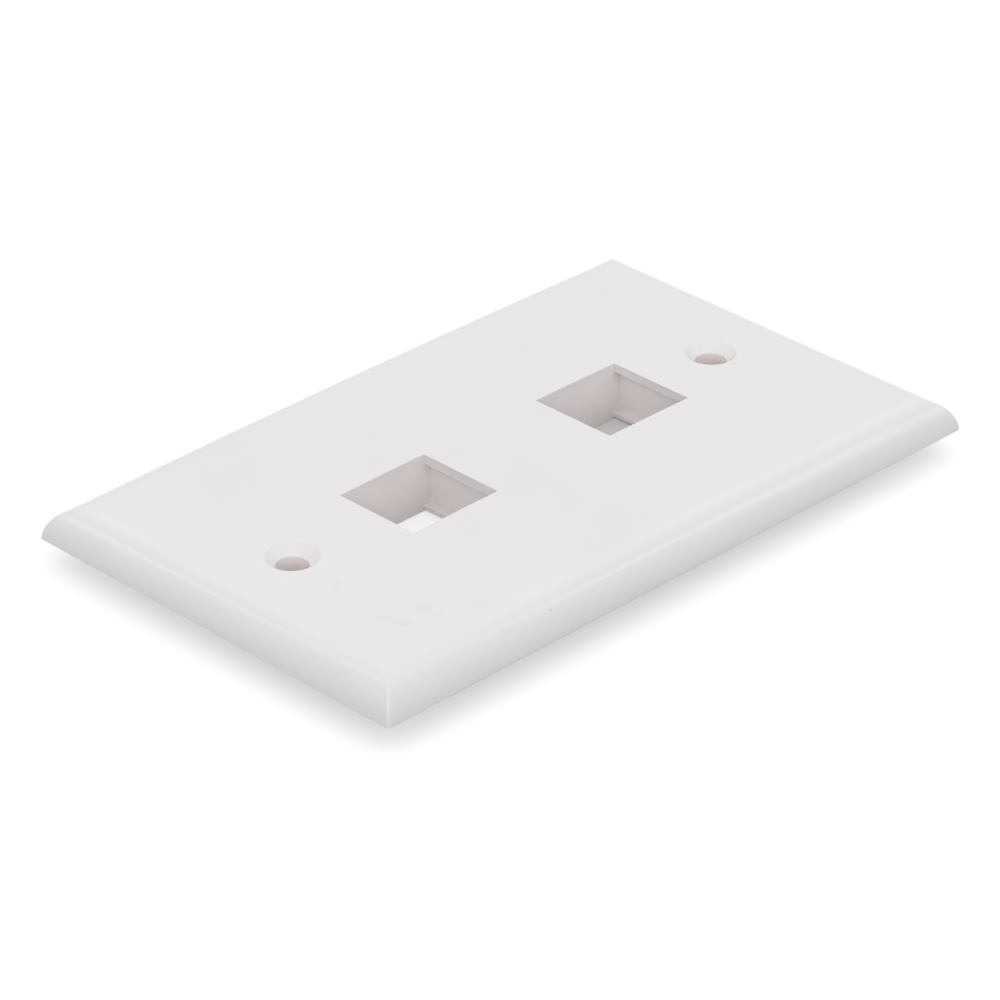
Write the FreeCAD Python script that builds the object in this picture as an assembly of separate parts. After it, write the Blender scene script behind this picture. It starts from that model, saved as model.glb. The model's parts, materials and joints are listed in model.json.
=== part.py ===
"""Keystone wall plate for one gang with two ports, moulded in one piece.

Sizes are in mm. X runs along the plate, Y across it and Z out of its front face.
The origin is under the middle of the outline, on the plane where the two port frames end.
"""
import FreeCAD, Part
import math
import os

NODE = "faceplate"

# outline and shell
plate_length = 114.3      # along X
plate_width = 69.85       # along Y
face_height = 5.5         # top of the face above the rim
face_crown = 0.6          # the face is this much lower at its two ends
edge_radius = 5.4         # rounding from the face down to the rim
rim_land = 0.5            # upright band at the rim, above the level of the rounding's centre
face_break = 7.0          # degrees, faint edge where the rounding meets the face
corner_radius = 0.5       # upright corners of the outline
skin = 1.6                # wall thickness of the moulding

# ports, each open for a jack pushed in from behind
port_length = 16.2        # along X
port_width = 14.7         # along Y
port_pitch = 38.6
port_shift = 1.6          # middle of the pair, from the middle of the plate
mouth_edge = 0.15         # rounding where a port or a countersink meets the face
catch_recess = 1.2        # undercut behind the lip, at both ends of a port
catch_ledge = 1.0         # thickness of the ledge that holds the jack's latch
ledge_lead = 0.3          # lead-in at the back of the ledge
frame_wall = 1.5          # wall of the frame behind a port
frame_reach = 3.7         # how far the frames stand out behind the rim
frame_corner = 0.6        # upright corners of a frame

# screws
screw_pitch = 83.34       # hole spacing of the wall box
screw_hole_radius = 2.35
sink_radius = 3.85        # countersink at the face
sink_depth = 1.4
boss_wall = 2.1
boss_gap = 1.2            # a boss ends this far short of the rim plane

# the two rails along the back
rail_thickness = 1.1
rail_height = 1.9

# levels and positions
rim_z = frame_reach
face_z = rim_z + face_height
lip_z = face_z - skin
crown_radius = ((plate_length / 2) ** 2 + face_crown ** 2) / (2 * face_crown)
crown_z = face_z - crown_radius
port_xs = [port_shift + side * port_pitch / 2 for side in (-1, 1)]
screw_xs = [side * screw_pitch / 2 for side in (-1, 1)]
frame_length = port_length + 2 * (catch_recess + frame_wall)
frame_width = port_width + 2 * frame_wall
edge_back = math.sqrt(edge_radius ** 2 - rim_land ** 2)            # outline to the rounding's centre
edge_drop = edge_radius * math.cos(math.radians(face_break))       # face to the rounding's centre
cut_past = skin           # how far a cutter runs past what it cuts


def at(x, y, z):
    return FreeCAD.Vector(x, y, z)


def bowed(depth, x):
    """Height at x of a surface that lies a depth below the crowned face."""
    return crown_z + math.sqrt((crown_radius - depth) ** 2 - x ** 2)


def profile(points):
    return Part.Face(Part.makePolygon(points + points[:1]))


def quarter(side, centre, level, radius, place):
    """Quarter round from an upright side to the top, on the left (-1) or the right (1)."""
    bend = radius * math.sqrt(0.5)
    steps = (radius, 0), (bend, bend), (0, radius)
    return Part.Arc(*[place(side * (centre + out), level + up) for out, up in steps]).toShape()


def side_section(inset, foot_z, x):
    """Section across the plate at a distance x along it: two rounded sides and the face between them."""
    centre, radius = plate_width / 2 - edge_back, edge_radius - inset
    drop = face_z - bowed(0, x)
    spring, top = face_z - edge_radius - drop, face_z - inset - drop

    def place(y, z):
        return at(x, y, z)

    edges = [quarter(side, centre, spring, radius, place) for side in (-1, 1)]
    edges.append(Part.makeLine(place(-centre, top), place(centre, top)))
    for side in (-1, 1):
        out = side * (centre + radius)
        edges.append(Part.makeLine(place(out, foot_z), place(out, spring)))
    edges.append(Part.makeLine(place(-centre - radius, foot_z), place(centre + radius, foot_z)))
    return Part.Wire(Part.sortEdges(edges)[0])


def end_block(inset, foot_z):
    """The rounded ends, drawn along the plate and carried across it."""
    half, top = plate_width / 2 + cut_past, 2 * face_z
    centre, radius = plate_length / 2 - edge_back, edge_radius - inset
    spring = bowed(edge_drop, centre)

    def place(x, z):
        return at(x, -half, z)

    edges = [quarter(side, centre, spring, radius, place) for side in (-1, 1)]
    for side in (-1, 1):
        out, crest = side * (centre + radius), side * centre
        edges.append(Part.makeLine(place(out, foot_z), place(out, spring)))
        edges.append(Part.makeLine(place(crest, spring + radius), place(crest, top)))
    edges.append(Part.makeLine(place(-centre, top), place(centre, top)))
    edges.append(Part.makeLine(place(-centre - radius, foot_z), place(centre + radius, foot_z)))
    return Part.Face(Part.Wire(Part.sortEdges(edges)[0])).extrude(at(0, 2 * half, 0))


def rounded_post(length, width, radius, bottom, top, x):
    """Upright block with rounded corners, its middle at a distance x along the plate."""
    post = Part.makeBox(length, width, top - bottom, at(x - length / 2, -width / 2, bottom))
    return post.makeFillet(radius, [e for e in post.Edges if e.BoundBox.ZLength > radius])


def crowned_block(inset, bottom):
    """Bowed bar with rounded sides, trimmed by the rounded ends and by the outline."""
    foot_z = bottom - edge_radius
    reach = plate_length / 2 + cut_past
    bar = Part.makeLoft([side_section(inset, foot_z, x) for x in (-reach, 0, reach)], True)
    length, width = plate_length - 2 * inset, plate_width - 2 * inset
    outline = rounded_post(length, width, corner_radius, bottom, 2 * face_z, 0)
    return bar.common(end_block(inset, foot_z)).common(outline)


def port_frame(x):
    return rounded_post(frame_length, frame_width, frame_corner, 0, bowed(skin / 2, abs(x) + frame_length / 2), x)


def port_cutter(x):
    """The opening, the undercuts behind its lip, and the lead-in past each ledge."""
    half, wide, lead = port_length / 2, port_length / 2 + catch_recess, port_length / 2 + ledge_lead
    side = [(half, face_z + cut_past), (half, lip_z), (wide, lip_z), (wide, catch_ledge),
            (half, catch_ledge), (half, ledge_lead), (lead, 0), (lead, -cut_past)]
    outline = side + [(-a, z) for a, z in reversed(side)]
    face = profile([at(x + a, -port_width / 2, z) for a, z in outline])
    return face.extrude(at(0, port_width, 0))


def boss(x):
    bottom = rim_z + boss_gap
    return Part.makeCylinder(screw_hole_radius + boss_wall, bowed(skin / 2, x) - bottom, at(x, 0, bottom))


def screw_cutter(x):
    """Through hole with its countersink, which is measured from the face at the hole."""
    face = bowed(0, x)
    slope = (sink_radius - screw_hole_radius) / sink_depth
    hole = Part.makeCylinder(screw_hole_radius, face + cut_past, at(x, 0, 0))
    sink = Part.makeCone(screw_hole_radius, sink_radius + slope * cut_past, sink_depth + cut_past,
                         at(x, 0, face - sink_depth))
    return hole.fuse(sink)


def rails():
    """Two thin rails in line with the frames' long walls, trimmed to the moulding."""
    offset = (frame_width - rail_thickness) / 2
    roof = crowned_block(skin / 2, rim_z)
    bars = [Part.makeBox(plate_length, rail_thickness, face_height,
                         at(-plate_length / 2, side * offset - rail_thickness / 2, lip_z - rail_height))
            for side in (-1, 1)]
    return [bar.common(roof) for bar in bars]


def round_mouths(body):
    """Round the mouths of the ports and countersinks, which are the inner outlines of the face."""
    face = max(body.Faces, key=lambda f: f.Area)
    mouths = [wire for wire in face.Wires if not wire.isSame(face.OuterWire)]
    return body.makeFillet(mouth_edge, [edge for wire in mouths for edge in wire.Edges])


def faceplate():
    shell = crowned_block(0, rim_z).cut(crowned_block(skin, rim_z - cut_past))
    inside = [port_frame(x) for x in port_xs] + [boss(x) for x in screw_xs] + rails()
    body = shell.fuse(inside)
    body = body.cut([port_cutter(x) for x in port_xs] + [screw_cutter(x) for x in screw_xs])
    return round_mouths(body.removeSplitter())


os.makedirs("parts", exist_ok=True)
plate = faceplate()
plate.exportStep("parts/" + NODE + ".step")
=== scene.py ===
# %% [markdown]
# # Keystone faceplate
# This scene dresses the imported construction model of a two-port wall plate, moulded in one piece
# from gloss white plastic. A model for looks could be built anywhere and scaled to fit. Here the
# construction model comes in first and stays fixed, and the scene takes its box and its screw and
# port positions from that model and its record, so the dressed plate drops exactly into its place.

# %% Load the fixed frame
import json
import math

import bmesh
import bpy
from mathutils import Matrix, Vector


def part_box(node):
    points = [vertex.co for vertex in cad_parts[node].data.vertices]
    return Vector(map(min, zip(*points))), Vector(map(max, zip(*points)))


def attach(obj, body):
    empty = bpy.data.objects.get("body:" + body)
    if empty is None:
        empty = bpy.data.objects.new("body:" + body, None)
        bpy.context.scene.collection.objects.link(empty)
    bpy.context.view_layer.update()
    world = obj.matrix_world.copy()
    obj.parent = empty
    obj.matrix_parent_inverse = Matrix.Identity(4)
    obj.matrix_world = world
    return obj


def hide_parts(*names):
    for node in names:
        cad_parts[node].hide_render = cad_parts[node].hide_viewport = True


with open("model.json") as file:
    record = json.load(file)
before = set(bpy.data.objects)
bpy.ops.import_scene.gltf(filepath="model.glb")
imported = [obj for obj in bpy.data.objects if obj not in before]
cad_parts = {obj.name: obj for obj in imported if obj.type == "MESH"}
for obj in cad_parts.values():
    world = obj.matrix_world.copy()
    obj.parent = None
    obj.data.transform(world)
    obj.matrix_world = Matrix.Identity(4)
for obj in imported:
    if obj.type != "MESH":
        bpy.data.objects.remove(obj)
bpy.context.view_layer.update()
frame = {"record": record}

# %% Read the places
MM = 0.001
low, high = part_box("faceplate")
length, width = high.x - low.x, high.y - low.y
mounts = {mount["name"]: mount for mount in frame["record"]["mounts"]}
screw_pitch = mounts["box_screws"]["dims"]["spacing_x_mm"] * MM
screw_hole_radius = mounts["box_screws"]["dims"]["hole_r_mm"] * MM
port_xs = [mounts[name]["pos_m"][0] for name in ("port_1", "port_2")]
rim_z = mounts["wall_rim"]["pos_m"][2]
face_z = high.z
print("plate", length, width, "ports at", port_xs, "rim", rim_z, "face", face_z)

# %% [markdown]
# ## White plastic
# The plate is bright white ABS. On the real moulding the polished tool leaves a satin gloss with
# a very fine grain, and the melt shrinks a little unevenly, so long highlights waver. Real relief
# that fine would need millions of faces. One shader does both with two bumps instead, one of a few
# tenths of a millimetre and one of about a centimetre. Soft clouds of two close whites tint it. A
# few rub marks near one corner are spots in the object's own coordinates with ragged rims. All
# patterns use those coordinates, so they stay put from every side and at any zoom. Thin white
# plastic also lets some light through its walls, so a port or a screw hole looks lighter and warmer
# inside than plain shade would. That light is painted into the colour, through an attribute on the
# faces in there.

# %% Sizes of the finish
# marks of use: mm in from the corner at low x and low y, mm below the face, radius in mm, shade
rubs = [(18.8, 12.4, 0.27, 1.3, 0.965), (18.8, 9.9, 0.27, 0.8, 0.975),
        (14.1, 12.0, 0.34, 1.4, 0.965), (13.3, 14.5, 0.35, 1.0, 0.975),
        (24.4, 8.0, 0.2, 1.4, 0.975), (14.6, 25.3, 0.33, 0.7, 0.965)]
# a small spot that is only painted darker in the colour, on the rounding of the long side
dark_speck = (31.8, 1.7, 1.57, 0.3, 0.87)          # a tiny one on the rounding of the long side
mark_core, mark_rim = 0.2, 1.3               # a mark fades between these shares of its radius
ragged_size, ragged_reach = 0.9 * MM, 1.6 * MM
grain_size, grain_height = 0.35 * MM, 0.0012 * MM
wave_size, wave_height = 14 * MM, 0.012 * MM
cloud_size, cloud_low, cloud_high = 16 * MM, 0.3, 0.7
first_white, second_white = (0.825, 0.785, 0.785, 1), (0.84, 0.80, 0.80, 1)
glossiest, dullest = 0.10, 0.13              # roughness
plastic_ior = 1.5
# painted light: how much lighter and warmer the colour is made in the deepest pockets
painted_lift_levels = (0.18, 0.12, 0.09)             # how much lighter and warmer the deepest pockets are
print("rub marks and nick:", len(rubs) + 1)

# %% Paint helper
class Paint:
    """Short calls that add nodes to one material."""
    def __init__(self, name):
        self.material = bpy.data.materials.new(name)
        self.material.use_nodes = True
        self.nodes, self.links = self.material.node_tree.nodes, self.material.node_tree.links
        self.shader = self.nodes["Principled BSDF"]
        self.here = self.nodes.new("ShaderNodeTexCoord").outputs["Object"]

    def join(self, source, target):
        if hasattr(source, "links"):
            self.links.new(source, target)
        else:
            target.default_value = source

    def noise(self, size, detail=2.0, output="Fac"):
        node = self.nodes.new("ShaderNodeTexNoise")
        node.inputs["Scale"].default_value = 1 / size
        node.inputs["Detail"].default_value = detail
        self.links.new(self.here, node.inputs["Vector"])
        return node.outputs[output]

    def vector(self, operation, first, second, output="Vector"):
        node = self.nodes.new("ShaderNodeVectorMath")
        node.operation = operation
        self.join(first, node.inputs[0])
        self.join(second, node.inputs["Scale" if operation == "SCALE" else 1])
        return node.outputs[output]

    def span(self, value, start, end, low_value, high_value):
        """A soft step from one value to another, as the input goes from start to end."""
        node = self.nodes.new("ShaderNodeMapRange")
        node.interpolation_type = "SMOOTHSTEP"
        for name, number in zip(("From Min", "From Max", "To Min", "To Max"),
                                (start, end, low_value, high_value)):
            node.inputs[name].default_value = number
        self.links.new(value, node.inputs["Value"])
        return node.outputs["Result"]

    def times(self, first, second):
        node = self.nodes.new("ShaderNodeMath")
        node.operation = "MULTIPLY"
        self.join(first, node.inputs[0])
        self.join(second, node.inputs[1])
        return node.outputs["Value"]

    def bump(self, height, distance, under=None):
        node = self.nodes.new("ShaderNodeBump")
        node.inputs["Distance"].default_value = distance
        self.links.new(height, node.inputs["Height"])
        if under:
            self.links.new(under, node.inputs["Normal"])
        return node.outputs["Normal"]

print("paint helper ready")

# %% White plastic
def marked(paint, marks, spot, shade=None):
    """Round soft marks at the given coordinates, multiplied together and with a shade."""
    for in_x, in_y, below, radius, dark in marks:
        place = low.x + in_x * MM, low.y + in_y * MM, face_z - below * MM
        away = paint.vector("DISTANCE", spot, place, "Value")
        mark = paint.span(away, mark_core * radius * MM, mark_rim * radius * MM, dark, 1)
        shade = paint.times(shade, mark) if shade else mark
    return shade

def white_plastic():
    paint = Paint("white_abs")
    paint.shader.inputs["IOR"].default_value = plastic_ior
    clouds = paint.noise(cloud_size)
    tint = paint.nodes.new("ShaderNodeValToRGB")
    stops = (cloud_low, first_white), (cloud_high, second_white)
    for point, (position, white) in zip(tint.color_ramp.elements, stops):
        point.position, point.color = position, white
    paint.links.new(clouds, tint.inputs["Fac"])

    stray = paint.noise(ragged_size, 3, "Color")
    ragged = paint.vector("SCALE", paint.vector("SUBTRACT", stray, (0.5, 0.5, 0.5)), ragged_reach)
    rub_shade = marked(paint, rubs, paint.vector("ADD", paint.here, ragged))
    shade = marked(paint, [dark_speck], paint.here, rub_shade)
    colour = paint.vector("SCALE", tint.outputs["Color"], shade)
    # painted light: ports and screw holes get a lighter, warmer colour for light through the walls
    pocket = paint.nodes.new("ShaderNodeAttribute")
    pocket.attribute_name = "pocket"
    lift = paint.vector("SCALE", painted_lift_levels, pocket.outputs["Fac"])
    colour = paint.vector("MULTIPLY", colour, paint.vector("ADD", lift, (1, 1, 1)))
    paint.links.new(colour, paint.shader.inputs["Base Color"])

    gloss = paint.span(clouds, cloud_low, cloud_high, glossiest, dullest)
    paint.links.new(gloss, paint.shader.inputs["Roughness"])
    waves = paint.bump(paint.noise(wave_size, 1), wave_height)
    grain = paint.bump(paint.noise(grain_size, 3), grain_height, waves)
    paint.links.new(grain, paint.shader.inputs["Normal"])
    return paint.material

plastic = white_plastic()
print("material", plastic.name, "with", len(plastic.node_tree.nodes), "nodes")

# %% [markdown]
# ## A short way to write node trees
# Every repeated or rule-made shape here comes from Geometry Nodes. They could be wired by hand in
# the editor, but a tree built in code can be read and run again. This small helper keeps the
# trees readable: `size` names an input, `node` adds a node and wires it, and `calc` is one step
# of arithmetic on a field. `grow` ends the tree, runs it once and hands back a plain mesh.

# %% Tree helper
merge_within = 0.002 * MM                    # points closer than this become one

class Tree:
    """A Geometry Nodes tree with named inputs."""

    def __init__(self, name):
        self.group = bpy.data.node_groups.new(name, "GeometryNodeTree")
        self.group.interface.new_socket("Geometry", in_out="OUTPUT",
                                        socket_type="NodeSocketGeometry")
        self.source = self.group.nodes.new("NodeGroupInput")
        self.values = {}

    def size(self, name, value, kind="NodeSocketFloat"):
        socket = self.group.interface.new_socket(name, in_out="INPUT", socket_type=kind)
        self.values[socket.identifier] = value
        return self.source.outputs[name]

    def node(self, kind, wires=None, **settings):
        node = self.group.nodes.new(kind)
        for key, value in settings.items():
            setattr(node, key, value)
        for key, value in (wires or {}).items():
            for item in value if isinstance(value, list) else [value]:
                if isinstance(item, bpy.types.NodeSocket):
                    self.group.links.new(item, node.inputs[key])
                else:
                    node.inputs[key].default_value = item
        return node

    def calc(self, operation, *terms):
        return self.node("ShaderNodeMath", dict(enumerate(terms)), operation=operation).outputs[0]

    def held(self, value):
        """The value kept between 0 and 1."""
        return self.calc("MINIMUM", self.calc("MAXIMUM", value, 0.0), 1.0)

    def point(self, x=0.0, y=0.0, z=0.0):
        return self.node("ShaderNodeCombineXYZ", {"X": x, "Y": y, "Z": z}).outputs[0]

    def drawing(self, line):
        """The points and edges of a drawn line."""
        return self.node("GeometryNodeObjectInfo", {"Object": line}).outputs["Geometry"]

    def join(self, *parts):
        joined = self.node("GeometryNodeJoinGeometry", {"Geometry": list(parts)}).outputs[0]
        return self.node("GeometryNodeMergeByDistance",
                         {"Geometry": joined, "Distance": merge_within}).outputs[0]

    def moved(self, geometry, place, turn=(0, 0, 0)):
        return self.node("GeometryNodeTransform",
                         {"Geometry": geometry, "Translation": place, "Rotation": turn}).outputs[0]

    def prism(self, curve, depth):
        """A closed solid from a flat closed curve, carried up by a depth."""
        face = self.node("GeometryNodeFillCurve", {"Curve": curve}, mode="NGONS").outputs[0]
        raised = self.node("GeometryNodeExtrudeMesh",
                           {"Mesh": face, "Offset": self.point(z=depth), "Offset Scale": 1.0,
                            "Individual": False}).outputs[0]
        return self.join(raised, self.node("GeometryNodeFlipFaces", {"Mesh": face}).outputs[0])

    def repeated(self, solid, first, step, count=2):
        """The solid at evenly spaced places, turned into real mesh."""
        line = self.node("GeometryNodeMeshLine",
                         {"Count": count, "Start Location": first, "Offset": step}).outputs[0]
        copies = self.node("GeometryNodeInstanceOnPoints",
                           {"Points": line, "Instance": solid}).outputs[0]
        return self.node("GeometryNodeRealizeInstances", {"Geometry": copies}).outputs[0]

    def boolean(self, operation, parts, first=None):
        wires = {"Mesh 2": list(parts)}
        if first is not None:
            wires["Mesh 1"] = first
        return self.node("GeometryNodeMeshBoolean", wires, operation=operation,
                         solver="EXACT").outputs[0]

    def grow(self, name, geometry):
        """Close the tree, run it once and return the plain mesh."""
        real = self.node("GeometryNodeRealizeInstances", {"Geometry": geometry}).outputs[0]
        real = self.node("GeometryNodeSetShadeSmooth",
                         {"Geometry": real, "Shade Smooth": True}).outputs[0]
        paint = self.size("Material", plastic, "NodeSocketMaterial")
        last = self.node("GeometryNodeSetMaterial",
                         {"Geometry": real, "Material": paint}).outputs[0]
        self.group.links.new(last, self.group.nodes.new("NodeGroupOutput").inputs[0])
        carrier = bpy.data.objects.new(name + "_carrier", bpy.data.meshes.new(name + "_seed"))
        bpy.context.scene.collection.objects.link(carrier)
        modifier = carrier.modifiers.new(name, "NODES")
        modifier.node_group = self.group
        for identifier, value in self.values.items():
            modifier[identifier] = value
        grown = carrier.evaluated_get(bpy.context.evaluated_depsgraph_get())
        mesh = bpy.data.meshes.new_from_object(grown)
        mesh.name = name
        bpy.data.objects.remove(carrier)
        return mesh

print("points merge within", merge_within, "m")

# %% Lines to draw with
def drawn(name, points, closed=False):
    """A line drawn in the XY plane, kept as an object that a tree can read."""
    count = len(points)
    edges = [(i, (i + 1) % count) for i in range(count if closed else count - 1)]
    mesh = bpy.data.meshes.new(name)
    mesh.from_pydata([(x, y, 0) for x, y in points], edges, [])
    line = bpy.data.objects.new(name, mesh)
    bpy.context.scene.collection.objects.link(line)
    print(name, count, "points")
    return line

def arc(centre, radius, start, end, steps):
    """Points on an arc, from one angle to another in degrees, measured from the upright."""
    turns = [math.radians(start + (end - start) * i / steps) for i in range(steps + 1)]
    return [(centre[0] + radius * math.sin(a), centre[1] + radius * math.cos(a)) for a in turns]

# %% [markdown]
# ## The section of the moulding
# The rounded edge, the rim and the 1.6 mm skin are one section that runs right round the plate.
# It could be modelled side by side, but then the four mitres would have to be matched by hand.
# Here the section is drawn once, as distance out from the centre of the rounding and height, so
# that one rule can carry it round.

# %% Draw the section
edge_radius, skin, land = 5.4 * MM, 1.6 * MM, 0.5 * MM
rim_break, corner_round, crown = 0.12 * MM, 0.5 * MM, 0.6 * MM
spring_z = face_z - edge_radius
reach_out = math.sqrt(edge_radius ** 2 - land ** 2)
inner_radius, reach_in = edge_radius - skin, reach_out - skin
half_x, half_y = length / 2 - reach_out, width / 2 - reach_out
crown_radius = ((length / 2) ** 2 + crown ** 2) / (2 * crown)
outer_steps, rim_steps, inner_steps = 28, 3, 16

outer_end = math.degrees(math.asin(reach_out / edge_radius))
inner_end = math.degrees(math.asin(reach_in / inner_radius))
section = arc((0, spring_z), edge_radius, 0, outer_end, outer_steps)
section += arc((reach_out - rim_break, rim_z + rim_break), rim_break, 90, 180, rim_steps)
section += arc((reach_in + rim_break, rim_z + rim_break), rim_break, 180, 270, rim_steps)
section += arc((0, spring_z), inner_radius, inner_end, 0, inner_steps)
section_line = drawn("section_line", section)

# %% [markdown]
# ## Sweep it round the plate
# The tree walks a quarter of the outline, from the middle of a long side to the middle of an end,
# and mirrors that walk four times. Each section point is carried along it. The mitre's rounding
# grows with the distance out, so it is sharp at the face and half a millimetre at the rim, as a
# mould leaves it. The crown lowers everything above the rim. A bevelled box would be quicker, but
# it has the same rounding all over and no crown.

# %% Crown
crown_blend = 4 * MM                         # how softly the crown's fall stops at the ends

def fall(x):
    """How far the crowned face has fallen at x, measured from the middle of the plate."""
    return x * x / (2 * crown_radius)

def lowered(tree, sizes, x, z):
    """Height z less the crown's fall at x, which fades out at the rim."""
    hold = tree.calc("SMOOTH_MIN", tree.calc("ABSOLUTE", x), sizes["Half length"], crown_blend)
    drop = tree.calc("DIVIDE", tree.calc("MULTIPLY", hold, hold),
                     tree.calc("MULTIPLY", sizes["Crown radius"], 2.0))
    above = tree.calc("DIVIDE", tree.calc("SUBTRACT", z, sizes["Rim level"]),
                      spring_z + land - rim_z)
    return tree.calc("SUBTRACT", z, tree.calc("MULTIPLY", drop, tree.held(above)))

print("the face falls by", round(fall(half_x) / MM, 3), "mm where the rounding of the ends starts")

# %% Sides
side_steps, corner_steps, end_steps = 30, 6, 18

def swept_side(tree, sizes):
    """The section carried round the outline. Each of its points is one row of the grid."""
    steps, points = float(side_steps + corner_steps + end_steps), float(len(section))
    grid = tree.node("GeometryNodeMeshGrid",
                     {"Vertices X": int(4 * steps) + 1, "Vertices Y": int(points)})
    index = tree.node("GeometryNodeInputIndex").outputs[0]
    walk = tree.calc("FLOOR", tree.calc("DIVIDE", tree.calc("ADD", index, 0.5), points))
    row = tree.calc("SUBTRACT", index, tree.calc("MULTIPLY", walk, points))
    place = tree.node("GeometryNodeInputPosition").outputs[0]
    drawing = tree.drawing(tree.size("Section", section_line, "NodeSocketObject"))
    sample = tree.node("GeometryNodeSampleIndex", data_type="FLOAT_VECTOR")
    tree.group.links.new(drawing, sample.inputs["Geometry"])
    tree.group.links.new(place, sample.inputs["Value"])
    tree.group.links.new(row, sample.inputs["Index"])
    split = tree.node("ShaderNodeSeparateXYZ", {0: sample.outputs[0]})
    out, level = split.outputs["X"], split.outputs["Y"]

    quarter = tree.calc("DIVIDE", walk, steps)
    step = tree.calc("MULTIPLY", tree.calc("PINGPONG", quarter, 1.0), steps)
    def share(start, count):
        gone = tree.calc("SUBTRACT", step, float(start))
        return tree.held(tree.calc("DIVIDE", gone, float(count)))
    along, turn = share(0, side_steps), share(side_steps, corner_steps)
    across = tree.calc("SUBTRACT", 1.0, share(side_steps + corner_steps, end_steps))
    angle = tree.calc("MULTIPLY", turn, math.pi / 2)
    growth = tree.calc("DIVIDE", sizes["Corner rounding"], sizes["Edge rounding"])
    radius = tree.calc("MULTIPLY", out, growth)
    def reach(half, portion, bend):
        flat = tree.calc("SUBTRACT", tree.calc("ADD", out, half), radius)
        bent = tree.calc("MULTIPLY", radius, tree.calc(bend, angle))
        return tree.calc("ADD", tree.calc("MULTIPLY", portion, flat), bent)
    side_x = tree.calc("SIGN", tree.calc("SUBTRACT", 2.0, quarter))
    off_end = tree.calc("SUBTRACT", tree.calc("ABSOLUTE", tree.calc("SUBTRACT", quarter, 2.0)), 1.0)
    x = tree.calc("MULTIPLY", side_x, reach(sizes["Half length"], along, "SINE"))
    side_y = tree.calc("SIGN", off_end)
    y = tree.calc("MULTIPLY", side_y, reach(sizes["Half width"], across, "COSINE"))
    spot = tree.point(x, y, lowered(tree, sizes, x, level))
    return tree.node("GeometryNodeSetPosition",
                     {"Geometry": grid.outputs["Mesh"], "Position": spot}).outputs[0]

print("steps round a quarter of the outline:", side_steps + corner_steps + end_steps)

# %% Face and its underside
def crowned_sheet(tree, sizes, level):
    """A crowned sheet inside the roundings. Its points meet those of the swept sides."""
    grid = tree.node("GeometryNodeMeshGrid",
                     {"Size X": tree.calc("MULTIPLY", sizes["Half length"], 2.0),
                      "Size Y": tree.calc("MULTIPLY", sizes["Half width"], 2.0),
                      "Vertices X": 2 * side_steps + 1, "Vertices Y": 2 * end_steps + 1})
    place = tree.node("GeometryNodeInputPosition").outputs[0]
    here = tree.node("ShaderNodeSeparateXYZ", {0: place})
    across, along = here.outputs["Y"], here.outputs["X"]
    spot = tree.point(along, across, lowered(tree, sizes, along, level))
    return tree.node("GeometryNodeSetPosition",
                     {"Geometry": grid.outputs["Mesh"], "Position": spot}).outputs[0]

print("sheet:", 2 * side_steps + 1, "by", 2 * end_steps + 1, "points")

# %% [markdown]
# ## What stands behind the face
# Each port has a closed frame that the jack snaps into, each screw hole has a boss, and two thin
# rails stiffen the back. Copies could be placed by hand, but they repeat, so each is drawn once
# and set out along a line by the tree. The port's section has the lip at the face, the undercut
# behind it and the ledge that holds the jack's latch. Its corners are slightly rounded, as they
# are in any moulding.

# %% Draw the port
port_length, port_width = 16.2 * MM, 14.7 * MM
catch_recess, catch_ledge, ledge_lead = 1.2 * MM, 1.0 * MM, 0.3 * MM
frame_wall, frame_corner = 1.5 * MM, 0.6 * MM
past = 2 * MM                                # how far a cutter runs past what it cuts
frame_length = port_length + 2 * (catch_recess + frame_wall)
frame_width = port_width + 2 * frame_wall

half, wide, lead = port_length / 2, port_length / 2 + catch_recess, port_length / 2 + ledge_lead
lip_z = face_z - skin
port_side = [(half, face_z + past), (half, lip_z), (wide, lip_z), (wide, catch_ledge),
             (half, catch_ledge), (half, ledge_lead), (lead, 0.0), (lead, -past)]
port_line = drawn("port_line", port_side + [(-x, z) for x, z in reversed(port_side)], closed=True)

# %% Draw the rail
rail_thickness, rail_height = 1.1 * MM, 1.9 * MM
rail_end_steps, roof_steps = 10, 10
rail_top = face_z - skin / 2
rail_foot = lip_z - rail_height
mid_radius = edge_radius - skin / 2
end_spring = spring_z - fall(half_x)
lean_foot = math.degrees(math.acos((rail_foot - end_spring) / mid_radius))
rail_end = arc((half_x, end_spring), mid_radius, lean_foot, 0, rail_end_steps)
roof_xs = [half_x * i / roof_steps for i in range(roof_steps - 1, -1, -1)]
rail_half = rail_end + [(x, rail_top - fall(x)) for x in roof_xs]
mirrored = [(-x, z) for x, z in reversed(rail_half[:-1])]
rail_line = drawn("rail_line", rail_half + mirrored, closed=True)

# %% Ports and rails
soft_edge, soft_steps = 0.15 * MM, 4         # rounding of the mouths and inside the ports
frame_corner_steps = 6
rail_inset = 0.05 * MM                       # keeps rails off the plane of the frames' walls

def curve_of(tree, line, radius):
    """A drawn line as a curve, with its corners rounded where a radius is given."""
    curve = tree.node("GeometryNodeMeshToCurve", {"Mesh": tree.drawing(line)}).outputs[0]
    if not radius:
        return curve
    return tree.node("GeometryNodeFilletCurve",
                     {"Curve": curve, "Count": soft_steps, "Radius": radius, "Limit Radius": True},
                     mode="POLY").outputs[0]

def upright(tree, curve, thickness):
    """A prism drawn as length and height, stood up and centred across the plate."""
    solid = tree.prism(curve, thickness)
    centred = tree.point(y=tree.calc("MULTIPLY", thickness, 0.5))
    return tree.moved(solid, centred, (math.pi / 2, 0, 0))

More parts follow.
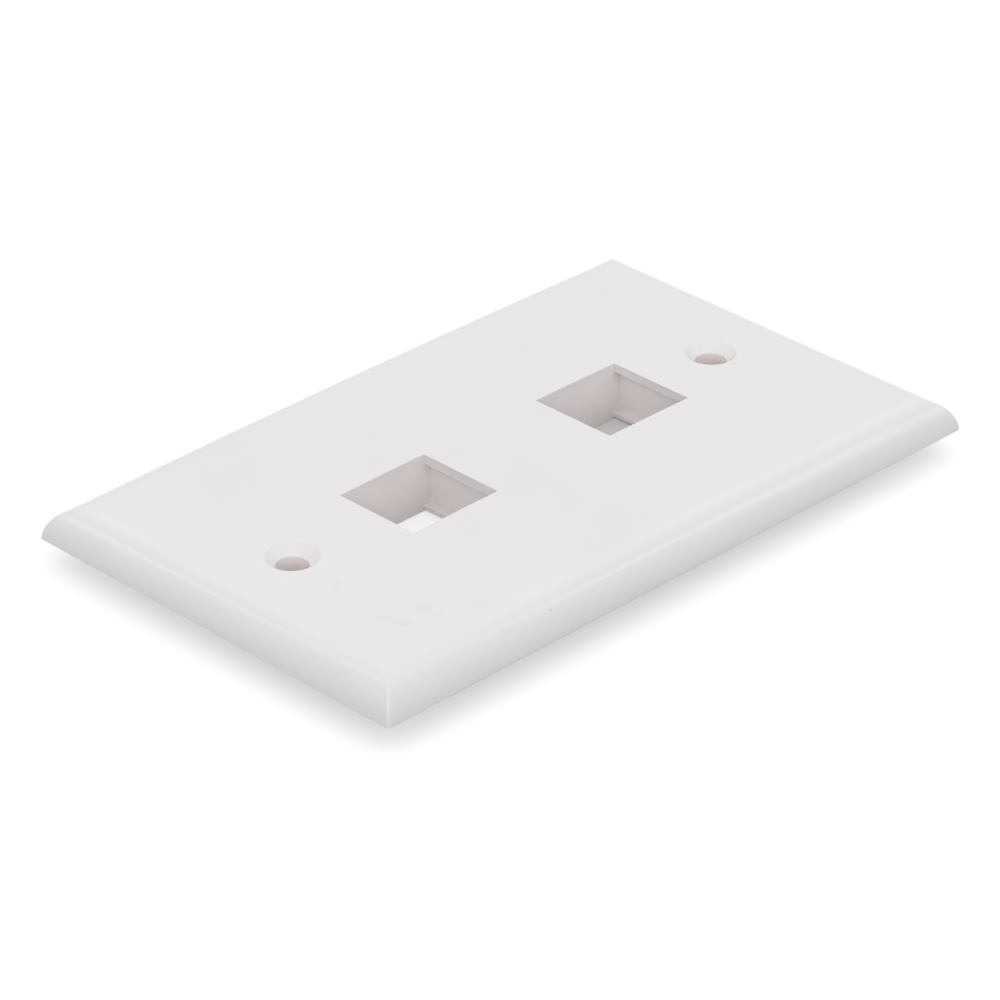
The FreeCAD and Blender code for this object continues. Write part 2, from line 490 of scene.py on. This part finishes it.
def port_frames(tree, sizes):
    outline = tree.node("GeometryNodeCurvePrimitiveQuadrilateral",
                        {"Width": sizes["Frame length"], "Height": sizes["Frame width"]},
                        mode="RECTANGLE").outputs[0]
    outline = tree.node("GeometryNodeFilletCurve",
                        {"Curve": outline, "Count": frame_corner_steps,
                         "Radius": sizes["Frame corner"]}, mode="POLY").outputs[0]
    top = face_z - skin / 2 - fall(max(abs(x) for x in port_xs) + frame_length / 2)
    return tree.repeated(tree.prism(outline, top), sizes["First port"], sizes["Port step"])

def port_openings(tree, sizes):
    line = tree.size("Port section", port_line, "NodeSocketObject")
    solid = upright(tree, curve_of(tree, line, sizes["Soft edge"]), sizes["Port width"])
    return tree.repeated(solid, sizes["First port"], sizes["Port step"])

def rails(tree, sizes):
    line = tree.size("Rail outline", rail_line, "NodeSocketObject")
    solid = upright(tree, curve_of(tree, line, None), sizes["Rail thickness"])
    offset = (frame_width - rail_thickness) / 2 - rail_inset
    return tree.repeated(solid, (0, -offset, 0), (0, 2 * offset, 0))

print("frames", frame_length, "by", frame_width, "m, edges rounded by", soft_edge, "m")

# %% Bosses and screw holes
boss_wall, boss_gap = 2.1 * MM, 1.2 * MM
sink_radius, sink_depth = 3.85 * MM, 1.4 * MM
round_points = 96
sink_overlap = 0.02                          # the cone starts this share inside the hole's radius

def round_bar(tree, radius, bottom, top):
    bar = tree.node("GeometryNodeMeshCylinder",
                    {"Vertices": round_points, "Radius": radius, "Depth": top - bottom})
    return tree.moved(bar.outputs["Mesh"], (0, 0, (top + bottom) / 2))

def bosses(tree, sizes):
    radius = tree.calc("ADD", sizes["Screw hole radius"], sizes["Boss wall"])
    top = face_z - skin / 2 - fall(screw_pitch / 2 + boss_wall)
    bar = round_bar(tree, radius, rim_z + boss_gap, top)
    return tree.repeated(bar, sizes["First screw"], sizes["Screw step"])

def screw_holes(tree, sizes):
    bar = round_bar(tree, sizes["Screw hole radius"], 0.0, face_z + past)
    return tree.repeated(bar, sizes["First screw"], sizes["Screw step"])

def countersinks(tree, sizes):
    surface = face_z - fall(screw_pitch / 2)
    slope = (sink_radius - screw_hole_radius) / sink_depth
    cone = tree.node("GeometryNodeMeshCone",
                     {"Vertices": round_points,
                      "Radius Bottom": screw_hole_radius * (1 - sink_overlap),
                      "Radius Top": sink_radius + slope * past,
                      "Depth": sink_depth + past + sink_overlap * screw_hole_radius / slope})
    foot = surface - sink_depth - sink_overlap * screw_hole_radius / slope
    placed = tree.moved(cone.outputs["Mesh"], (0, 0, foot))
    return tree.repeated(placed, sizes["First screw"], sizes["Screw step"])

print("countersink", sink_radius, "m wide at the face,", sink_depth, "m deep")

# %% [markdown]
# ## Put the moulding together
# The real plate comes out of the mould in one shot. Parts that only touch would look the same
# from the front, but their hidden walls would stay in the mesh. So the solids are joined and the
# openings cut in one tree, and the plate is one closed skin.

# %% Moulding
def moulding():
    tree = Tree("moulded_plate")
    sizes = {name: tree.size(name, value) for name, value in {
        "Half length": half_x, "Half width": half_y, "Crown radius": crown_radius,
        "Rim level": rim_z, "Edge rounding": edge_radius, "Corner rounding": corner_round,
        "Frame length": frame_length, "Frame width": frame_width, "Frame corner": frame_corner,
        "Port width": port_width, "Soft edge": soft_edge, "Rail thickness": rail_thickness,
        "Screw hole radius": screw_hole_radius, "Boss wall": boss_wall}.items()}
    for name, along in {"First port": port_xs[0], "Port step": port_xs[1] - port_xs[0],
                        "First screw": -screw_pitch / 2, "Screw step": screw_pitch}.items():
        sizes[name] = tree.size(name, (along, 0, 0), "NodeSocketVector")
    underside = tree.node("GeometryNodeFlipFaces", {"Mesh": crowned_sheet(tree, sizes, lip_z)})
    shell = tree.join(swept_side(tree, sizes), crowned_sheet(tree, sizes, face_z),
                      underside.outputs[0])
    solids = [shell, port_frames(tree, sizes), bosses(tree, sizes), rails(tree, sizes)]
    cutters = [port_openings(tree, sizes), screw_holes(tree, sizes), countersinks(tree, sizes)]
    body = tree.boolean("DIFFERENCE", cutters, tree.boolean("UNION", solids))
    return tree.grow("moulded_plate", body)

plate_mesh = moulding()
print("moulding:", len(plate_mesh.vertices), "points,", len(plate_mesh.polygons), "faces")

# %% [markdown]
# ## Soften the mouths
# A mould never leaves a knife edge. The corners inside the ports have their rounding from the
# drawn section. The outlines of the ports and countersinks on the face get the same here. They
# curve with the crown, so they are found by where they lie and bevelled on the finished mesh.

# %% Rounded mouths
slack = 0.02 * MM
mouth_angle = math.radians(25)
mouth_steps = 3

def on_face(vertex):
    surface = face_z - fall(vertex.co.x)
    return abs(vertex.co.z - surface) < slack

mesh = bmesh.new()
mesh.from_mesh(plate_mesh)
bmesh.ops.remove_doubles(mesh, verts=mesh.verts, dist=merge_within)
mouths = [edge for edge in mesh.edges
          if len(edge.link_faces) == 2 and edge.calc_face_angle() > mouth_angle
          and all(on_face(vertex) for vertex in edge.verts)
          and all(abs(vertex.co.x) < half_x - MM for vertex in edge.verts)]
bmesh.ops.bevel(mesh, geom=mouths, offset=soft_edge, offset_type="OFFSET", segments=mouth_steps,
                profile=0.5, affect="EDGES", clamp_overlap=True)
print("mouth edges:", len(mouths))
mesh.to_mesh(plate_mesh)
mesh.free()

# %% [markdown]
# ## Smooth shading
# The flat parts of a moulding look flat right up to their rounded edges. Plain smooth shading
# would bend the light across them. Weighted normals let the large faces decide how their corners
# are shaded, so only the roundings turn.

# %% Shaded plate
sharp_angle = math.radians(35)
plate = bpy.data.objects.new("dressed_plate", plate_mesh)
bpy.context.scene.collection.objects.link(plate)
for polygon in plate_mesh.polygons:
    polygon.use_smooth = True
plate_mesh.set_sharp_from_angle(angle=sharp_angle)
weighted = plate.modifiers.new("weighted", "WEIGHTED_NORMAL")
weighted.keep_sharp = True
weighted.weight = 50                         # the middle: large faces lead, small ones still count
shaded = plate.evaluated_get(bpy.context.evaluated_depsgraph_get())
finished = bpy.data.meshes.new_from_object(shaded)
plate.modifiers.clear()
plate.data = finished
for line in (section_line, port_line, rail_line):
    bpy.data.objects.remove(line)
print("shaded plate:", len(finished.polygons), "faces")

# %% [markdown]
# ## Painted pocket light
# Light that comes through the thin walls shows most where little other light gets in. Light could
# be traced through the plastic, but that is slow and grainy in a white part. So the light is
# painted
# into the colour: each face carries a number that the paint reads, most in a screw hole, less in a
# port, nothing elsewhere.

# %% Painted pocket light attribute
hole_share, port_share = 1, 0.45

def painted_light_share(x, y, z):
    """How strongly the painted light from through the walls shows at a point."""
    if face_z - fall(x) - z < 0.5 * soft_edge:
        return 0
    from_screw = min(math.hypot(x - side * screw_pitch / 2, y) for side in (-1, 1))
    if from_screw < screw_hole_radius + slack:
        return hole_share
    reach = port_length / 2 + catch_recess + slack
    from_port = min(abs(x - port_x) for port_x in port_xs)
    return port_share if from_port < reach and abs(y) < port_width / 2 + slack else 0

shares = [painted_light_share(*vertex.co) for vertex in finished.vertices]
pocket = finished.attributes.new("pocket", "FLOAT", "FACE")
for polygon, item in zip(finished.polygons, pocket.data):
    found = sorted(shares[corner] for corner in polygon.vertices)
    item.value = found[len(found) // 4]      # so one corner at the mouth doesn't clear a long face
print("pocket faces:", sum(item.value > 0 for item in pocket.data))

# %% Hand over the plate
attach(plate, "root")
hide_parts("faceplate")
triangles = sum(len(polygon.vertices) - 2 for polygon in finished.polygons)
print("dressed plate:", triangles, "triangles")

# %% [markdown]
# ## Studio
# The plate lies on its back on a plain white sheet, face up, as in a product shot. The camera
# looks down on one corner at thirty degrees. A short lens close by would spread the near corner.
# A long lens from further off keeps near and far edges almost parallel, with room around the plate.

# %% Camera
lens_length, sensor_width = 179.7, 36        # in mm, as a camera's sizes are
camera_place = (-0.43434, -0.43407, 0.35273)
forward = Vector((0.61244, 0.61460, -0.49717))

camera_data = bpy.data.cameras.new("camera")
camera_data.lens = lens_length
camera_data.sensor_width = sensor_width
camera = bpy.data.objects.new("camera", camera_data)
camera.location = camera_place
camera.rotation_euler = forward.to_track_quat("-Z", "Y").to_euler()
bpy.context.scene.collection.objects.link(camera)
bpy.context.scene.camera = camera
looks_down = math.degrees(math.asin(-forward.normalized().z))
print("camera looks down at", round(looks_down, 1), "degrees from", camera_place)

# %% [markdown]
# ## Floor
# A white sheet under a product throws light up onto its sides. In a real studio dark cards beside
# the object hold that back. Here the sheet is a mid grey for the light it throws and white for
# what the eye and the reflections see. Its white is part paint and part glow, so the plate's soft
# shadow still shows on it. Under the far port the glow is turned down, a patch of painted shade
# where the plate hides the sheet.

# %% Tell a look from thrown light
def seen_directly(nodes, links):
    """1 for rays that look at a surface, straight or in a reflection, and 0 for light passed on."""
    path = nodes.new("ShaderNodeLightPath")
    seen = path.outputs["Is Camera Ray"]
    for name in ("Is Glossy Ray", "Is Transmission Ray"):
        either = nodes.new("ShaderNodeMath")
        either.operation = "MAXIMUM"
        links.new(seen, either.inputs[0])
        links.new(path.outputs[name], either.inputs[1])
        seen = either.outputs["Value"]
    return seen

print("floor and sky can now look white and light otherwise")

# %% Paper
thrown_grey, white_paint = 0.5, 0.62
# painted shade: the glow drops to the first value in a disc under the far port
painted_shade_glow, open_glow = 0.1, 0.5
painted_shade_radius, painted_shade_end = 12 * MM, 14 * MM

def paper():
    material = bpy.data.materials.new("floor_paper")
    material.use_nodes = True
    nodes, links = material.node_tree.nodes, material.node_tree.links
    nodes.remove(nodes["Principled BSDF"])
    thrown, white = nodes.new("ShaderNodeBsdfDiffuse"), nodes.new("ShaderNodeBsdfDiffuse")
    thrown.inputs["Color"].default_value = (thrown_grey, thrown_grey, thrown_grey, 1)
    white.inputs["Color"].default_value = (white_paint, white_paint, white_paint, 1)
    glow = nodes.new("ShaderNodeEmission")
    place, away = nodes.new("ShaderNodeTexCoord"), nodes.new("ShaderNodeVectorMath")
    away.operation = "DISTANCE"
    links.new(place.outputs["Object"], away.inputs[0])
    away.inputs[1].default_value = (port_xs[1], 0, low.z)
    # painted shade: inside the disc under the far port the glow drops, so the sheet looks shaded
    # there
    glow_with_painted_shade = nodes.new("ShaderNodeMapRange")
    for name, value in {"From Min": painted_shade_radius, "From Max": painted_shade_end,
                        "To Min": painted_shade_glow, "To Max": open_glow}.items():
        glow_with_painted_shade.inputs[name].default_value = value
    links.new(away.outputs["Value"], glow_with_painted_shade.inputs["Value"])
    links.new(glow_with_painted_shade.outputs["Result"], glow.inputs["Strength"])
    both, choice = nodes.new("ShaderNodeAddShader"), nodes.new("ShaderNodeMixShader")
    links.new(white.outputs["BSDF"], both.inputs[0])
    links.new(glow.outputs["Emission"], both.inputs[1])
    links.new(seen_directly(nodes, links), choice.inputs["Fac"])
    links.new(thrown.outputs["BSDF"], choice.inputs[1])
    links.new(both.outputs["Shader"], choice.inputs[2])
    links.new(choice.outputs["Shader"], nodes["Material Output"].inputs["Surface"])
    return material

print("floor paint", white_paint, "and glow", open_glow)

# %% Floor
floor_reach = 3.0
floor_z = low.z - 0.05 * MM                  # just under the frames, which never share its plane
floor_mesh = bpy.data.meshes.new("floor")
floor_mesh.from_pydata([(x * floor_reach, y * floor_reach, floor_z) for x, y in
                        ((-1, -1), (1, -1), (1, 1), (-1, 1))], [], [(0, 1, 2, 3)])
floor = bpy.data.objects.new("floor", floor_mesh)
bpy.context.scene.collection.objects.link(floor)
floor_mesh.materials.append(paper())
print("floor", 2 * floor_reach, "m wide at height", floor_z)

# %% [markdown]
# ## Light
# Most of the light is a soft ring around the plate at about thirty degrees up, strongest from the
# front, which reaches into the ports as well as over the face. Above it a weaker cap and one soft
# lamp light the face. A single lamp would leave the ports black and throw one hard shadow.

# %% Lamp
lamp_tint = (0.968, 0.990, 1.0)

def lamp(name, place, size, power):
    """A square soft lamp that faces the plate."""
    data = bpy.data.lights.new(name, "AREA")
    data.shape = "SQUARE"
    data.size = size
    data.energy = power
    data.color = lamp_tint
    stand = bpy.data.objects.new(name, data)
    stand.location = place
    stand.rotation_euler = Vector(place).to_track_quat("Z", "Y").to_euler()
    bpy.context.scene.collection.objects.link(stand)
    print("lamp", name, power, "W")

lamp("above_back", (0.5, 0.5, 1.0), 1.0, 0.59)

# %% [markdown]
# ## Edge lines
# A thin bright line runs along each near edge, where the gloss of the rounding mirrors something
# bright. A lamp there would also light the whole plate. A glowing ribbon hardly does. The rounding
# mirrors it only where it tilts by thirty to forty degrees, so each ribbon follows the directions
# in which that part of the rounding looks, one on each side of the view. The camera doesn't see it.

# %% Ribbons
# the two long edges of each card in mm, a slanted ribbon that widens away from the near corner
card_short = [[(-81, 462, 670), (-123, 476, 640), (-165, 490, 619), (-204, 504, 596),
               (-221, 519, 577), (-227, 533, 561), (-234, 540, 551), (-248, 554, 531)],
              [(-150, 458, 660), (-189, 473, 626), (-228, 488, 601), (-274, 501, 569),
               (-297, 515, 544), (-345, 527, 502), (-382, 533, 468), (-437, 542, 417)]]
card_long = [[(425, -7, 702), (435, -97, 673), (445, -187, 647), (468, -226, 617),
              (499, -249, 582), (520, -243, 566), (539, -237, 551), (557, -222, 538),
              (570, -211, 529)],
             [(425, -70, 699), (434, -167, 660), (443, -264, 620), (465, -328, 571),
              (497, -345, 533), (516, -395, 476), (534, -423, 429), (551, -439, 388),
              (563, -450, 359)]]
card_glow = 2.3

def card(name, edges):
    """A glowing ribbon between two edges, which the camera doesn't see."""
    mesh = bpy.data.meshes.new(name)
    count = len(edges[0])
    points = [[MM * value for value in point] for edge in edges for point in edge]
    quads = [(i, i + 1, count + i + 1, count + i) for i in range(count - 1)]
    mesh.from_pydata(points, [], quads)
    material = bpy.data.materials.new(name)
    material.use_nodes = True
    nodes, links = material.node_tree.nodes, material.node_tree.links
    nodes.remove(nodes["Principled BSDF"])
    glow = nodes.new("ShaderNodeEmission")
    glow.inputs["Color"].default_value = *lamp_tint, 1
    glow.inputs["Strength"].default_value = card_glow
    links.new(glow.outputs["Emission"], nodes["Material Output"].inputs["Surface"])
    mesh.materials.append(material)
    stand = bpy.data.objects.new(name, mesh)
    stand.visible_camera = stand.visible_shadow = False
    bpy.context.scene.collection.objects.link(stand)
    print("card", name, "of", len(quads), "quads")

card("card_short_side", card_short)
card("card_long_side", card_long)

# %% [markdown]
# ## Sky
# The rest of the light comes from all round. A picture of a studio could be wrapped round the
# scene, but a few numbers say the same and keep it free of files. The ring has a strength towards
# each of four directions and fades into the next. It starts just over the floor and ends where
# the cap begins. What looks at the sky, straight or in a reflection, sees plain white.

# %% Sky
ring_heights = [(3, 0), (20, 1), (35, 1), (50, 0)]      # degrees above the floor, and level
cap_heights = [(35, 0), (50, 1)]

def sky(ring, cap):
    """Light from a ring with a strength towards each direction, and from a cap over it."""
    world = bpy.data.worlds.new("sky")
    world.use_nodes = True
    nodes, links = world.node_tree.nodes, world.node_tree.links

    def calc(operation, first, second):
        node = nodes.new("ShaderNodeMath")
        node.operation = operation
        for value, socket in ((first, node.inputs[0]), (second, node.inputs[1])):
            if hasattr(value, "links"):
                links.new(value, socket)
            else:
                socket.default_value = value
        return node.outputs["Value"]

    def by_height(stops):
        """The level at each height, from stops that give degrees above the floor."""
        node = nodes.new("ShaderNodeValToRGB")
        points = node.color_ramp.elements
        while len(points) < len(stops):
            points.new(1.0)
        for point, (degrees, level) in zip(points, stops):
            point.position = math.sin(math.radians(degrees))
            point.color = level, level, level, 1
        links.new(split.outputs["Z"], node.inputs["Fac"])
        return node.outputs["Color"]

    def along(operation, vector, other=(0, 0, 0), output="Vector"):
        node = nodes.new("ShaderNodeVectorMath")
        node.operation = operation
        links.new(vector, node.inputs[0])
        node.inputs[1].default_value = other
        return node.outputs[output]

    place, split = nodes.new("ShaderNodeTexCoord"), nodes.new("ShaderNodeSeparateXYZ")
    links.new(place.outputs["Generated"], split.inputs["Vector"])
    plan = along("NORMALIZE", along("MULTIPLY", place.outputs["Generated"], (1, 1, 0)))
    total = 0.0
    for direction, strength in ring.items():
        towards = calc("MAXIMUM", along("DOT_PRODUCT", plan, direction, "Value"), 0.0)
        total = calc("ADD", calc("MULTIPLY", calc("MULTIPLY", towards, towards), strength), total)
    total = calc("MULTIPLY", total, by_height(ring_heights))
    above = calc("MULTIPLY", by_height(cap_heights), cap)
    light, white = nodes["Background"], nodes.new("ShaderNodeBackground")
    light.inputs["Color"].default_value = *lamp_tint, 1
    links.new(calc("ADD", total, above), light.inputs["Strength"])
    white.inputs["Color"].default_value = (1, 1, 1, 1)
    choice = nodes.new("ShaderNodeMixShader")
    links.new(seen_directly(nodes, links), choice.inputs["Fac"])
    links.new(light.outputs["Background"], choice.inputs[1])
    links.new(white.outputs["Background"], choice.inputs[2])
    links.new(choice.outputs["Shader"], nodes["World Output"].inputs["Surface"])
    return world

slant = math.sqrt(0.5)
back, front = (slant, slant, 0), (-slant, -slant, 0)
left, right = (-slant, slant, 0), (slant, -slant, 0)
ring_levels, cap_level = {back: 1.12, front: 2.14, left: 0.5, right: 0.5}, 0.91
bpy.context.scene.world = sky(ring_levels, cap_level)
bpy.context.scene.view_settings.view_transform = "Standard"
print("ring", list(ring_levels.values()), "cap", cap_level)
